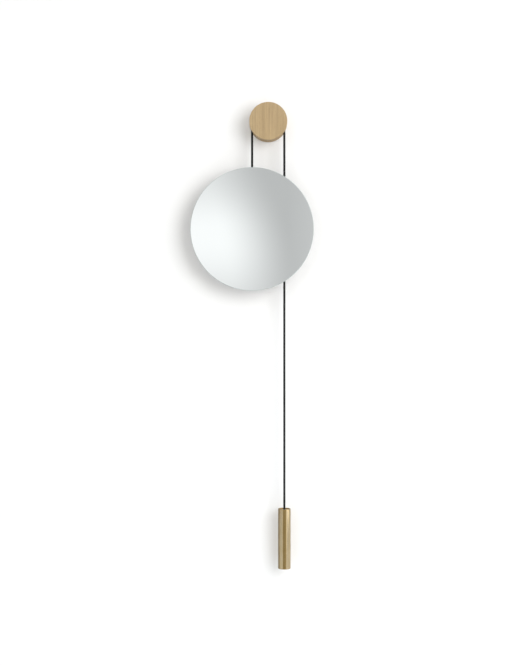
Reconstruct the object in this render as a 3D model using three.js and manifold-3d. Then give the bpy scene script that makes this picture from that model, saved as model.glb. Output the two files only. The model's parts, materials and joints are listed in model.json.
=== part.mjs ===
// Height-adjustable round wall mirror.  A frameless mirror and a brass counterweight hang on the two
// ends of one cord, and the cord runs over an oak pulley wheel on the wall.
// Millimetres.  +Z is up, the wall is the plane y = 0 and the front faces -Y.  The origin is the
// centre of the wall plate's back face, on the wheel's axis.

import * as THREE from 'three';
import { mergeVertices } from 'three/addons/utils/BufferGeometryUtils.js';
import Module from 'manifold-3d';

// ---------------------------------------------------------------- driving dimensions

// Room left between two pieces that touch on the real object
const GAP = 0.3;

// How far a cutting shape runs past the face that it opens
const CUT_PAST = 1;

// Cord
const CORD_RADIUS = 3.25;
const CORD_Y = -36;
const PITCH_RADIUS = 46;
const CORD_HOLE_RADIUS = CORD_RADIUS + GAP;

// Wall plate with its boss
const PLATE_RADIUS = 42;
const PLATE_THICKNESS = 4;
const PLATE_CHAMFER = 0.8;
const BOSS_RADIUS = 13;
const BOSS_FRONT_Y = -15;
const SPIGOT_RADIUS = 3.7;
const SPIGOT_END_Y = -5.3;
const WALL_SCREW_CIRCLE_RADIUS = 31;
const WALL_SCREW_HOLE_RADIUS = 2.75;
const WALL_SCREW_SINK_RADIUS = 5.5;
const WALL_SCREW_SINK_START_Y = -1.3;

// Axle, bushes, washers and nut
const AXLE_RADIUS = 5;
const THREAD_RADIUS = 4;
const THREAD_CHAMFER = 0.8;
const AXLE_SHOULDER_Y = -36.1;
const AXLE_END_Y = -41.7;
const BUSH_OUTER_RADIUS = 7.7;
const BUSH_FLANGE_RADIUS = 11;
const BUSH_FLANGE_THICKNESS = 1;
const BUSH_LENGTH = 7.5;
const WASHER_THICKNESS = 1.1;
const NUT_ACROSS_FLATS = 13;
const NUT_HEIGHT = 5;

// Wheel: a hub with the groove and the rear flange, and a plain disc in front
const WHEEL_RADIUS = 54;
const WHEEL_CHAMFER = 0.8;
const WHEEL_BACK_Y = -18;
const FLANGE_FRONT_Y = -30;
const GROOVE_FOOT_Y = -32.5;
const HUB_FRONT_Y = -42;
const WHEEL_FRONT_Y = -56;
const GROOVE_RADIUS = PITCH_RADIUS - CORD_RADIUS - GAP;
const NUT_RECESS_RADIUS = 15;
const NUT_RECESS_FLOOR_Y = -33;
const DISC_SCREW_CIRCLE_RADIUS = 30;
const DISC_SCREW_TIP_Y = -52;

// Screws: pan heads, pointed shanks
const SCREW_SHANK_RADIUS = 2;
const SCREW_HEAD_RADIUS = 3.9;
const SCREW_HEAD_CROWN_RADIUS = 2.7;
const SCREW_HEAD_HEIGHT = 2.6;
const SCREW_HEAD_EDGE_HEIGHT = 1;
const SCREW_POINT_LENGTH = 3;

// Mirror and its backing board
const MIRROR_RADIUS = 175;
const MIRROR_CENTRE_Z = -306.5;
const MIRROR_X = -PITCH_RADIUS;
const GLASS_FRONT_Y = -56;
const GLASS_THICKNESS = 4;
const GLASS_CHAMFER = 0.8;
const PAD_THICKNESS = 1;
const PAD_LENGTH = 160;
const PAD_WIDTH = 25;
const PAD_SPACING = 60;
const PAD_COUNT = 4;
const BOARD_RADIUS = 145;
const BOARD_THICKNESS = 8;
const BOARD_CHAMFER = 1.5;

// Hanger: a screwed plate with a block that the cord passes through
const HANGER_CENTRE_Z = -189.5;
const HANGER_WIDTH = 60;
const HANGER_HEIGHT = 35;
const HANGER_CORNER_RADIUS = 5;
const HANGER_THICKNESS = 2;
const HANGER_BLOCK_WIDTH = 18;
const HANGER_BLOCK_HEIGHT = 20;
const HANGER_BLOCK_BACK_Y = -30.5;
const HANGER_BLOCK_ROOT = 0.5;
const HANGER_SCREW_X = 22;
const HANGER_SCREW_Z = 10;
const HANGER_SCREW_DEPTH = 7;

// Ferrules, crimped on the cord's two ends
const FERRULE_RADIUS = 4.9;
const FERRULE_LENGTH = 14;
const FERRULE_CHAMFER = 0.5;

// Lower stand-offs, which keep the mirror parallel to the wall
const STANDOFF_X = 55;
const STANDOFF_DROP = 105;
const STANDOFF_RADIUS = 7;
const STANDOFF_CHAMFER = 0.6;
const FELT_RADIUS = 8;
const FELT_THICKNESS = 2.6;
const FELT_BACK_Y = -0.4;

// Counterweight: a cylinder with a cap inside its rim, which has a threaded neck
const WEIGHT_X = PITCH_RADIUS;
const WEIGHT_RADIUS = 17.75;
const WEIGHT_TOP_Z = -1103;
const WEIGHT_HEIGHT = 170.5;
const WEIGHT_CHAMFER = 0.7;
const CAP_RADIUS = 14.7;
const CAP_RECESS = 2;
const CAP_HEIGHT = 4;
const NECK_RADIUS = 10;
const NECK_LENGTH = 10;
const CHAMBER_DEPTH = 34;

// Facets round a circle, from large discs down to screws, and facets round half of the cord
const FINE = 72;
const MEDIUM = 48;
const COARSE = 32;
const SMALL = 24;
const SCREW = 16;
const HALF_CORD = 6;
const CORNER = 6;

// Steps along the half turn of cord
const WRAP_STEPS = 30;

// Vertices closer than this are one vertex
const MERGE_DISTANCE = 1e-4;

// ---------------------------------------------------------------- places that follow from them

const glassBackY = GLASS_FRONT_Y + GLASS_THICKNESS;
const padFrontY = glassBackY + GAP;
const padBackY = padFrontY + PAD_THICKNESS;
const boardFrontY = padBackY + GAP;
const boardBackY = boardFrontY + BOARD_THICKNESS;
const hangerFrontY = boardBackY + GAP;
const hangerBackY = hangerFrontY + HANGER_THICKNESS;
const hangerBlockBottomZ = HANGER_CENTRE_Z - HANGER_HEIGHT / 2;
const hangerBlockTopZ = hangerBlockBottomZ + HANGER_BLOCK_HEIGHT;
const mirrorFerruleTopZ = hangerBlockBottomZ - GAP;
const capTopZ = WEIGHT_TOP_Z - CAP_RECESS;
const capBottomZ = capTopZ - CAP_HEIGHT;
const neckBottomZ = capBottomZ - NECK_LENGTH;
const weightBottomZ = WEIGHT_TOP_Z - WEIGHT_HEIGHT;
const weightFerruleTopZ = neckBottomZ - GAP;

// ---------------------------------------------------------------- materials

function material(color, roughness, metalness) {
  return new THREE.MeshStandardMaterial({ color, roughness, metalness });
}

const steel = material(0xb4b6b8, 0.35, 1);
const bronze = material(0xa8824a, 0.4, 1);
const brass = material(0xc3a56a, 0.28, 1);
const oak = material(0xc8b08a, 0.6, 0);
const mirrorSilver = material(0xe2e6e8, 0.03, 1);
const board = material(0x5a4a3c, 0.75, 0);
const foam = material(0xe6e4de, 0.9, 0);
const cordBlack = material(0x2a2a2c, 0.85, 0);
const felt = material(0x3a3a3c, 0.95, 0);

// ---------------------------------------------------------------- shape helpers

const wasm = await Module();
wasm.setup();

// A closed mesh as a solid that can be joined and cut
function solidOf(geometry) {
  const bare = geometry.clone();
  bare.deleteAttribute('normal');
  bare.deleteAttribute('uv');
  const merged = mergeVertices(bare, MERGE_DISTANCE);
  const vertProperties = new Float32Array(merged.attributes.position.array);
  const triVerts = new Uint32Array(merged.index.array);
  return new wasm.Manifold(new wasm.Mesh({ numProp: 3, vertProperties, triVerts }));
}

function geometryOf(solid) {
  const mesh = solid.getMesh();
  const geometry = new THREE.BufferGeometry();
  geometry.setAttribute('position', new THREE.BufferAttribute(new Float32Array(mesh.vertProperties), 3));
  geometry.setIndex(new THREE.BufferAttribute(new Uint32Array(mesh.triVerts), 1));
  geometry.computeVertexNormals();
  return geometry;
}

function cut(geometry, cutters) {
  return geometryOf(cutters.reduce((solid, cutter) => solid.subtract(solidOf(cutter)), solidOf(geometry)));
}

function join(geometry, others) {
  return geometryOf(others.reduce((solid, other) => solid.add(solidOf(other)), solidOf(geometry)));
}

// A turned piece about the Y axis.  The outline's points are [radius, y], listed from back (y near 0)
// to front along the outside, so that the faces point out.
function turned(outline, facets = COARSE) {
  const points = outline.map(([radius, y]) => new THREE.Vector2(radius, y));
  return new THREE.LatheGeometry(points.reverse(), facets);
}

// A turned piece about the Z axis.  The outline's points are [radius, z], listed from top to bottom.
function turnedUpright(outline, facets = COARSE) {
  return turned(outline, facets).rotateX(Math.PI / 2);
}

// A ring about the Y axis between two planes
function ring(innerRadius, outerRadius, backY, frontY, facets = COARSE) {
  return turned([
    [innerRadius, backY],
    [outerRadius, backY],
    [outerRadius, frontY],
    [innerRadius, frontY],
    [innerRadius, backY],
  ], facets);
}

// A round plug about the Y axis between two planes
function plug(radius, backY, frontY, facets = COARSE) {
  return turned([[0, backY], [radius, backY], [radius, frontY], [0, frontY]], facets);
}

// Three points spaced evenly on a circle about the Y axis
function threeOnCircle(radius, firstAngle) {
  return [0, 1, 2].map((index) => {
    const angle = firstAngle + index * 2 * Math.PI / 3;
    return [radius * Math.cos(angle), radius * Math.sin(angle)];
  });
}

// A pan-head screw along Y, with its head at the back and its point towards the front
function screw(seatY, tipY) {
  return turned([
    [0, seatY + SCREW_HEAD_HEIGHT],
    [SCREW_HEAD_CROWN_RADIUS, seatY + SCREW_HEAD_HEIGHT],
    [SCREW_HEAD_RADIUS, seatY + SCREW_HEAD_EDGE_HEIGHT],
    [SCREW_HEAD_RADIUS, seatY],
    [SCREW_SHANK_RADIUS, seatY],
    [SCREW_SHANK_RADIUS, tipY + SCREW_POINT_LENGTH],
    [0, tipY],
  ], SCREW);
}

// The section of the cord, a regular polygon
function cordSection() {
  const shape = new THREE.Shape();
  shape.absarc(0, 0, CORD_RADIUS, 0, 2 * Math.PI);
  return shape;
}

// A straight, taut stretch of cord
function cordLeg(topZ, bottomZ) {
  const geometry = new THREE.ExtrudeGeometry(cordSection(), {
    depth: topZ - bottomZ,
    steps: 1,
    curveSegments: HALF_CORD,
    bevelEnabled: false,
  });
  return geometry.translate(0, 0, bottomZ);
}

// A half turn over the top of the wheel
class OverWheel extends THREE.Curve {
  getPoint(t, target = new THREE.Vector3()) {
    const angle = Math.PI * (1 - t);
    return target.set(PITCH_RADIUS * Math.cos(angle), CORD_Y, PITCH_RADIUS * Math.sin(angle));
  }
}

// A ferrule about the Z axis, with the cord's hole through it
function ferrule(topZ) {
  return turnedUpright([
    [CORD_HOLE_RADIUS, topZ],
    [FERRULE_RADIUS - FERRULE_CHAMFER, topZ],
    [FERRULE_RADIUS, topZ - FERRULE_CHAMFER],
    [FERRULE_RADIUS, topZ - FERRULE_LENGTH + FERRULE_CHAMFER],
    [FERRULE_RADIUS - FERRULE_CHAMFER, topZ - FERRULE_LENGTH],
    [CORD_HOLE_RADIUS, topZ - FERRULE_LENGTH],
    [CORD_HOLE_RADIUS, topZ],
  ], SMALL);
}

// ---------------------------------------------------------------- the assembly

const group = new THREE.Group();

function add(parent, name, geometry, surface) {
  const mesh = new THREE.Mesh(geometry, surface);
  mesh.name = name;
  parent.add(mesh);
  return mesh;
}

// Wall plate: a disc with a boss for the axle and three countersunk holes for the wall screws
const wallScrewSink = (x, z) => turned([
  [0, CUT_PAST],
  [WALL_SCREW_HOLE_RADIUS, CUT_PAST],
  [WALL_SCREW_HOLE_RADIUS, WALL_SCREW_SINK_START_Y],
  [WALL_SCREW_SINK_RADIUS, -PLATE_THICKNESS],
  [WALL_SCREW_SINK_RADIUS, -PLATE_THICKNESS - CUT_PAST],
  [0, -PLATE_THICKNESS - CUT_PAST],
], SMALL).translate(x, 0, z);

const plateBlank = turned([
  [0, 0],
  [PLATE_RADIUS, 0],
  [PLATE_RADIUS, -PLATE_THICKNESS + PLATE_CHAMFER],
  [PLATE_RADIUS - PLATE_CHAMFER, -PLATE_THICKNESS],
  [BOSS_RADIUS, -PLATE_THICKNESS],
  [BOSS_RADIUS, BOSS_FRONT_Y],
  [SPIGOT_RADIUS + GAP, BOSS_FRONT_Y],
  [SPIGOT_RADIUS + GAP, SPIGOT_END_Y + GAP],
  [0, SPIGOT_END_Y + GAP],
], MEDIUM);
const wallScrewPlaces = threeOnCircle(WALL_SCREW_CIRCLE_RADIUS, Math.PI / 2);
add(group, 'wall_plate', cut(plateBlank, wallScrewPlaces.map(([x, z]) => wallScrewSink(x, z))), steel);

// Axle: a spigot in the boss, the bearing length and a thread for the nut
add(group, 'axle', turned([
  [0, SPIGOT_END_Y],
  [SPIGOT_RADIUS, SPIGOT_END_Y],
  [SPIGOT_RADIUS, BOSS_FRONT_Y - GAP],
  [AXLE_RADIUS, BOSS_FRONT_Y - GAP],
  [AXLE_RADIUS, AXLE_SHOULDER_Y],
  [THREAD_RADIUS, AXLE_SHOULDER_Y],
  [THREAD_RADIUS, AXLE_END_Y + THREAD_CHAMFER],
  [THREAD_RADIUS - THREAD_CHAMFER, AXLE_END_Y],
  [0, AXLE_END_Y],
]), steel);

// Washers behind and in front of the wheel's bushes
const rearWasherBackY = BOSS_FRONT_Y - GAP;
const frontBushFlangeFrontY = NUT_RECESS_FLOOR_Y - GAP - BUSH_FLANGE_THICKNESS;
const frontWasherBackY = frontBushFlangeFrontY - GAP;
for (const [name, backY] of [['rear_washer', rearWasherBackY], ['front_washer', frontWasherBackY]]) {
  add(group, name, ring(AXLE_RADIUS + GAP, BUSH_FLANGE_RADIUS, backY, backY - WASHER_THICKNESS), steel);
}

// Hexagon nut on the axle's thread
const nutBackY = AXLE_SHOULDER_Y - GAP;
const nutBlank = plug(NUT_ACROSS_FLATS / 2 / Math.cos(Math.PI / 6), nutBackY, nutBackY - NUT_HEIGHT, 6);
const nutHole = plug(THREAD_RADIUS + GAP, nutBackY + CUT_PAST, nutBackY - NUT_HEIGHT - CUT_PAST);
add(group, 'axle_nut', cut(nutBlank, [nutHole]), steel);

// Wheel hub: rear flange, groove, bore, nut recess and three counterbored screw holes
const hubBoreRadius = BUSH_OUTER_RADIUS + GAP;
const discScrewSeatY = WHEEL_BACK_Y - SCREW_HEAD_HEIGHT - GAP;
const discScrewPlaces = threeOnCircle(DISC_SCREW_CIRCLE_RADIUS, -Math.PI / 2);
const hubBlank = turned([
  [hubBoreRadius, WHEEL_BACK_Y],
  [WHEEL_RADIUS - WHEEL_CHAMFER, WHEEL_BACK_Y],
  [WHEEL_RADIUS, WHEEL_BACK_Y - WHEEL_CHAMFER],
  [WHEEL_RADIUS, FLANGE_FRONT_Y + WHEEL_CHAMFER],
  [WHEEL_RADIUS - WHEEL_CHAMFER, FLANGE_FRONT_Y],
  [GROOVE_RADIUS, GROOVE_FOOT_Y],
  [GROOVE_RADIUS, HUB_FRONT_Y],
  [NUT_RECESS_RADIUS, HUB_FRONT_Y],
  [NUT_RECESS_RADIUS, NUT_RECESS_FLOOR_Y],
  [hubBoreRadius, NUT_RECESS_FLOOR_Y],
  [hubBoreRadius, WHEEL_BACK_Y],
], FINE);
const discScrewHole = (x, z) => turned([
  [0, WHEEL_BACK_Y + CUT_PAST],
  [SCREW_HEAD_RADIUS + GAP, WHEEL_BACK_Y + CUT_PAST],
  [SCREW_HEAD_RADIUS + GAP, discScrewSeatY - GAP],
  [SCREW_SHANK_RADIUS + GAP, discScrewSeatY - GAP],
  [SCREW_SHANK_RADIUS + GAP, DISC_SCREW_TIP_Y - GAP],
  [0, DISC_SCREW_TIP_Y - GAP],
], SCREW).translate(x, 0, z);
const discScrewHoles = discScrewPlaces.map(([x, z]) => discScrewHole(x, z));
add(group, 'wheel_hub', cut(hubBlank, discScrewHoles), oak);

// Front disc: plain in front, blind pilot holes behind
const discBlank = turned([
  [0, HUB_FRONT_Y - GAP],
  [WHEEL_RADIUS - WHEEL_CHAMFER, HUB_FRONT_Y - GAP],
  [WHEEL_RADIUS, HUB_FRONT_Y - GAP - WHEEL_CHAMFER],
  [WHEEL_RADIUS, WHEEL_FRONT_Y + WHEEL_CHAMFER],
  [WHEEL_RADIUS - WHEEL_CHAMFER, WHEEL_FRONT_Y],
  [0, WHEEL_FRONT_Y],
], FINE);
add(group, 'wheel_front_disc', cut(discBlank, discScrewHoles), oak);

discScrewPlaces.forEach(([x, z], index) => {
  const mesh = add(group, `disc_screw_${index + 1}`, screw(discScrewSeatY, DISC_SCREW_TIP_Y), steel);
  mesh.position.set(x, 0, z);
});

// Flanged bushes, pressed into the hub from behind and from the nut recess
const rearFlangeFrontY = WHEEL_BACK_Y + GAP;
add(group, 'rear_bush', turned([
  [AXLE_RADIUS + GAP, rearFlangeFrontY + BUSH_FLANGE_THICKNESS],
  [BUSH_FLANGE_RADIUS, rearFlangeFrontY + BUSH_FLANGE_THICKNESS],
  [BUSH_FLANGE_RADIUS, rearFlangeFrontY],
  [BUSH_OUTER_RADIUS, rearFlangeFrontY],
  [BUSH_OUTER_RADIUS, rearFlangeFrontY - BUSH_LENGTH],
  [AXLE_RADIUS + GAP, rearFlangeFrontY - BUSH_LENGTH],
  [AXLE_RADIUS + GAP, rearFlangeFrontY + BUSH_FLANGE_THICKNESS],
]), bronze);
const frontFlangeBackY = NUT_RECESS_FLOOR_Y - GAP;
add(group, 'front_bush', turned([
  [AXLE_RADIUS + GAP, frontFlangeBackY + BUSH_LENGTH],
  [BUSH_OUTER_RADIUS, frontFlangeBackY + BUSH_LENGTH],
  [BUSH_OUTER_RADIUS, frontFlangeBackY],
  [BUSH_FLANGE_RADIUS, frontFlangeBackY],
  [BUSH_FLANGE_RADIUS, frontFlangeBackY - BUSH_FLANGE_THICKNESS],
  [AXLE_RADIUS + GAP, frontFlangeBackY - BUSH_FLANGE_THICKNESS],
  [AXLE_RADIUS + GAP, frontFlangeBackY + BUSH_LENGTH],
]), bronze);

// Cord: the half turn over the wheel, and the two legs that hang from its ends
add(group, 'cord_wrap', new THREE.ExtrudeGeometry(cordSection(), {
  steps: WRAP_STEPS,
  curveSegments: HALF_CORD,
  extrudePath: new OverWheel(),
}), cordBlack);
const mirrorLeg = add(group, 'cord_mirror_leg', cordLeg(-GAP, mirrorFerruleTopZ - FERRULE_LENGTH), cordBlack);
mirrorLeg.position.set(MIRROR_X, CORD_Y, 0);
const weightLeg = add(group, 'cord_weight_leg', cordLeg(-GAP, weightFerruleTopZ - FERRULE_LENGTH), cordBlack);
weightLeg.position.set(WEIGHT_X, CORD_Y, 0);

// Mirror: everything here is placed from the mirror's centre
const mirror = new THREE.Group();
mirror.position.set(MIRROR_X, 0, MIRROR_CENTRE_Z);
group.add(mirror);

add(mirror, 'mirror_glass', turned([
  [0, glassBackY],
  [MIRROR_RADIUS, glassBackY],
  [MIRROR_RADIUS, GLASS_FRONT_Y + GLASS_CHAMFER],
  [MIRROR_RADIUS - GLASS_CHAMFER, GLASS_FRONT_Y],
  [0, GLASS_FRONT_Y],
], FINE), mirrorSilver);

for (let index = 0; index < PAD_COUNT; index += 1) {
  const pad = new THREE.BoxGeometry(PAD_LENGTH, PAD_THICKNESS, PAD_WIDTH);
  const mesh = add(mirror, `adhesive_pad_${index + 1}`, pad, foam);
  mesh.position.set(0, (padFrontY + padBackY) / 2, (index - (PAD_COUNT - 1) / 2) * PAD_SPACING);
}

// Hanger screws: four, at the corners of the plate
const hangerSeatY = hangerBackY + GAP;
const hangerScrewTipY = hangerFrontY - HANGER_SCREW_DEPTH;
const hangerScrewPlaces = [[-1, 1], [1, 1], [1, -1], [-1, -1]].map(([sideX, sideZ]) => [
  sideX * HANGER_SCREW_X,
  HANGER_CENTRE_Z - MIRROR_CENTRE_Z + sideZ * HANGER_SCREW_Z,
]);
const hangerScrewHoles = hangerScrewPlaces.map(([x, z]) => {
  const hole = plug(SCREW_SHANK_RADIUS + GAP, hangerBackY + CUT_PAST, hangerScrewTipY - GAP, SCREW);
  return hole.translate(x, 0, z);
});

const boardBlank = turned([
  [0, boardBackY],
  [BOARD_RADIUS - BOARD_CHAMFER, boardBackY],
  [BOARD_RADIUS, boardBackY - BOARD_CHAMFER],
  [BOARD_RADIUS, boardFrontY],
  [0, boardFrontY],
], FINE);
add(mirror, 'backing_board', cut(boardBlank, hangerScrewHoles), board);

const plateOutline = new THREE.Shape();
const halfWidth = HANGER_WIDTH / 2;
const halfHeight = HANGER_HEIGHT / 2;
plateOutline.moveTo(-halfWidth + HANGER_CORNER_RADIUS, -halfHeight);
plateOutline.lineTo(halfWidth - HANGER_CORNER_RADIUS, -halfHeight);
plateOutline.quadraticCurveTo(halfWidth, -halfHeight, halfWidth, -halfHeight + HANGER_CORNER_RADIUS);
plateOutline.lineTo(halfWidth, halfHeight - HANGER_CORNER_RADIUS);
plateOutline.quadraticCurveTo(halfWidth, halfHeight, halfWidth - HANGER_CORNER_RADIUS, halfHeight);
plateOutline.lineTo(-halfWidth + HANGER_CORNER_RADIUS, halfHeight);
plateOutline.quadraticCurveTo(-halfWidth, halfHeight, -halfWidth, halfHeight - HANGER_CORNER_RADIUS);
plateOutline.lineTo(-halfWidth, -halfHeight + HANGER_CORNER_RADIUS);
plateOutline.quadraticCurveTo(-halfWidth, -halfHeight, -halfWidth + HANGER_CORNER_RADIUS, -halfHeight);

const hangerZ = HANGER_CENTRE_Z - MIRROR_CENTRE_Z;
const hangerPlate = new THREE.ExtrudeGeometry(plateOutline, {
  depth: HANGER_THICKNESS,
  curveSegments: CORNER,
  bevelEnabled: false,
}).rotateX(Math.PI / 2).translate(0, hangerBackY, hangerZ);
const blockDepth = HANGER_BLOCK_BACK_Y - hangerBackY + HANGER_BLOCK_ROOT;
const blockY = HANGER_BLOCK_BACK_Y - blockDepth / 2;
const blockZ = (hangerBlockTopZ + hangerBlockBottomZ) / 2 - MIRROR_CENTRE_Z;
const hangerBlock = new THREE.BoxGeometry(HANGER_BLOCK_WIDTH, blockDepth, HANGER_BLOCK_HEIGHT);
hangerBlock.translate(0, blockY, blockZ);
const hangerCordHole = turnedUpright([
  [0, hangerBlockTopZ + CUT_PAST],
  [CORD_HOLE_RADIUS, hangerBlockTopZ + CUT_PAST],
  [CORD_HOLE_RADIUS, hangerBlockBottomZ - CUT_PAST],
  [0, hangerBlockBottomZ - CUT_PAST],
]).translate(0, CORD_Y, -MIRROR_CENTRE_Z);
const hangerBlank = join(hangerPlate, [hangerBlock]);
add(mirror, 'hanger_bracket', cut(hangerBlank, [...hangerScrewHoles, hangerCordHole]), steel);

hangerScrewPlaces.forEach(([x, z], index) => {
  const mesh = add(mirror, `hanger_screw_${index + 1}`, screw(hangerSeatY, hangerScrewTipY), steel);
  mesh.position.set(x, 0, z);
});

const mirrorFerrule = add(mirror, 'mirror_cord_ferrule', ferrule(mirrorFerruleTopZ), brass);
mirrorFerrule.position.set(0, CORD_Y, -MIRROR_CENTRE_Z);

// Stand-offs with felt feet
const standoffFootY = FELT_BACK_Y - FELT_THICKNESS - GAP;
for (const [side, x] of [['left', -STANDOFF_X], ['right', STANDOFF_X]]) {
  const post = turned([
    [0, standoffFootY],
    [STANDOFF_RADIUS - STANDOFF_CHAMFER, standoffFootY],
    [STANDOFF_RADIUS, standoffFootY - STANDOFF_CHAMFER],
    [STANDOFF_RADIUS, boardBackY + GAP],
    [0, boardBackY + GAP],
  ]);
  add(mirror, `standoff_${side}`, post, oak).position.set(x, 0, -STANDOFF_DROP);
  const foot = plug(FELT_RADIUS, FELT_BACK_Y, FELT_BACK_Y - FELT_THICKNESS);
  add(mirror, `felt_foot_${side}`, foot, felt).position.set(x, 0, -STANDOFF_DROP);
}

// Counterweight: everything here is placed from its upright axis
const weight = new THREE.Group();
weight.position.set(WEIGHT_X, CORD_Y, 0);
group.add(weight);

add(weight, 'weight_cap', turnedUpright([
  [CORD_HOLE_RADIUS, capTopZ],
  [CAP_RADIUS, capTopZ],
  [CAP_RADIUS, capBottomZ],
  [NECK_RADIUS, capBottomZ],
  [NECK_RADIUS, neckBottomZ],
  [CORD_HOLE_RADIUS, neckBottomZ],
  [CORD_HOLE_RADIUS, capTopZ],
], MEDIUM), brass);

add(weight, 'weight_body', turnedUpright([
  [0, capBottomZ - CHAMBER_DEPTH],
  [NECK_RADIUS + GAP, capBottomZ - CHAMBER_DEPTH],
  [NECK_RADIUS + GAP, capBottomZ - GAP],
  [CAP_RADIUS + GAP, capBottomZ - GAP],
  [CAP_RADIUS + GAP, WEIGHT_TOP_Z],
  [WEIGHT_RADIUS - WEIGHT_CHAMFER, WEIGHT_TOP_Z],
  [WEIGHT_RADIUS, WEIGHT_TOP_Z - WEIGHT_CHAMFER],
  [WEIGHT_RADIUS, weightBottomZ + WEIGHT_CHAMFER],
  [WEIGHT_RADIUS - WEIGHT_CHAMFER, weightBottomZ],
  [0, weightBottomZ],
], MEDIUM), brass);

add(weight, 'weight_cord_ferrule', ferrule(weightFerruleTopZ), steel);

export default group;
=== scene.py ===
# Looks for the adjustable round wall mirror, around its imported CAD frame.
# Metres, +Z up, the wall is the plane y = 0 and the front faces -Y.

import json
import math

import bmesh
import bpy
import numpy as np
from mathutils import Matrix, Vector


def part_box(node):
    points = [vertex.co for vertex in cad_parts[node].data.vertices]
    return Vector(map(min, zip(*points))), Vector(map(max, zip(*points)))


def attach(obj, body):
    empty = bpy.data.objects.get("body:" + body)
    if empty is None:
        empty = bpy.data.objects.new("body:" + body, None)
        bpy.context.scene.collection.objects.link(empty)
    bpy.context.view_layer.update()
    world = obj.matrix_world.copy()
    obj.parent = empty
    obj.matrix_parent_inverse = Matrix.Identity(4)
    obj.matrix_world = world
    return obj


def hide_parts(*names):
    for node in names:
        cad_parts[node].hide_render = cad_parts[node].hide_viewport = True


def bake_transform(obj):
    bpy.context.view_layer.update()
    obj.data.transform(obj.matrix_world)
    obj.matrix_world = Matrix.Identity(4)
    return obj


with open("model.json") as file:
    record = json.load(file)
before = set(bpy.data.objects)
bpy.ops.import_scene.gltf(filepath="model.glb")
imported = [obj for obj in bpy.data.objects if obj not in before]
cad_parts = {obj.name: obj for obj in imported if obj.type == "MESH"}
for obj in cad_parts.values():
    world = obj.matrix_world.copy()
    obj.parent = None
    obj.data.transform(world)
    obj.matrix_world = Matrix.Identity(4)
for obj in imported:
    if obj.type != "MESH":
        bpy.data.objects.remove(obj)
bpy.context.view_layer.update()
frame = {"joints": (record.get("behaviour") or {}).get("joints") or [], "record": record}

MM = 0.001
GAP = 0.3 * MM  # between pieces that fit into each other
WALL = "wall_mount"
BODY_OF = {node: body for body, nodes in frame["record"]["behaviour"]["bodies"].items() for node in nodes}

# ------------------------------------------------------------------ places, read from the frame

spin = next(joint for joint in frame["joints"] if joint["name"] == "wheel_spin")
AXIS = Vector(spin["pos_m"])
CORD_Y = AXIS.y
disc_low, disc_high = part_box("wheel_front_disc")
hub_low, hub_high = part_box("wheel_hub")
glass_low, glass_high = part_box("mirror_glass")
board_low, board_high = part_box("backing_board")
hanger_low, hanger_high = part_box("hanger_bracket")
left_leg_low, left_leg_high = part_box("cord_mirror_leg")
right_leg_low, right_leg_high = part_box("cord_weight_leg")
cap_low, cap_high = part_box("weight_cap")
weight_low, weight_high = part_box("weight_body")
plate_low, plate_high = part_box("wall_plate")
screw_low, screw_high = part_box("disc_screw_1")

mirror_centre = (glass_low + glass_high) / 2
LEFT_X = (left_leg_low.x + left_leg_high.x) / 2
RIGHT_X = (right_leg_low.x + right_leg_high.x) / 2
PITCH_RADIUS = (RIGHT_X - LEFT_X) / 2

# ------------------------------------------------------------------ camera

CAMERA_DISTANCE = 3.0
CAMERA_X = -0.0292
CAMERA_Z = -0.6003
LENS = 56.2
SENSOR = 36.0


def make_camera():
    data = bpy.data.cameras.new("camera")
    data.lens = LENS
    data.sensor_width = SENSOR
    data.clip_start = 0.05
    data.clip_end = 50
    camera = bpy.data.objects.new("camera", data)
    camera.location = (CAMERA_X, -CAMERA_DISTANCE, CAMERA_Z)
    camera.rotation_euler = (math.radians(90), 0, 0)
    bpy.context.scene.collection.objects.link(camera)
    bpy.context.scene.camera = camera


make_camera()

# ------------------------------------------------------------------ material helpers


class Tree:
    """A shader tree, built one node at a time."""

    def __init__(self, tree):
        self.nodes = tree.nodes
        self.links = tree.links

    def node(self, kind, inputs=None, **settings):
        made = self.nodes.new(kind)
        for name, value in settings.items():
            setattr(made, name, value)
        for name, value in (inputs or {}).items():
            socket = made.inputs[name]
            if isinstance(value, bpy.types.NodeSocket):
                self.links.new(value, socket)
            else:
                socket.default_value = value
        return made

    def math(self, operation, first, second=0.0):
        return self.node("ShaderNodeMath", {0: first, 1: second}, operation=operation).outputs[0]

    def remap(self, value, low, high, to_low=0.0, to_high=1.0, interpolation="LINEAR"):
        made = self.node("ShaderNodeMapRange", {
            "Value": value,
            "From Min": low,
            "From Max": high,
            "To Min": to_low,
            "To Max": to_high,
        }, interpolation_type=interpolation)
        return made.outputs["Result"]

    def fade(self, value, low, high, to_low=0.0, to_high=1.0):
        """A remap with soft ends."""
        return self.remap(value, low, high, to_low, to_high, interpolation="SMOOTHSTEP")

    def mix(self, amount, first, second):
        """The colours of a Mix node are its inputs 6 and 7 and its output 2."""
        made = self.node("ShaderNodeMix", {0: amount}, data_type="RGBA")
        for index, colour in ((6, first), (7, second)):
            if isinstance(colour, bpy.types.NodeSocket):
                self.links.new(colour, made.inputs[index])
            else:
                made.inputs[index].default_value = (*colour, 1)
        return made.outputs[2]


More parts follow.
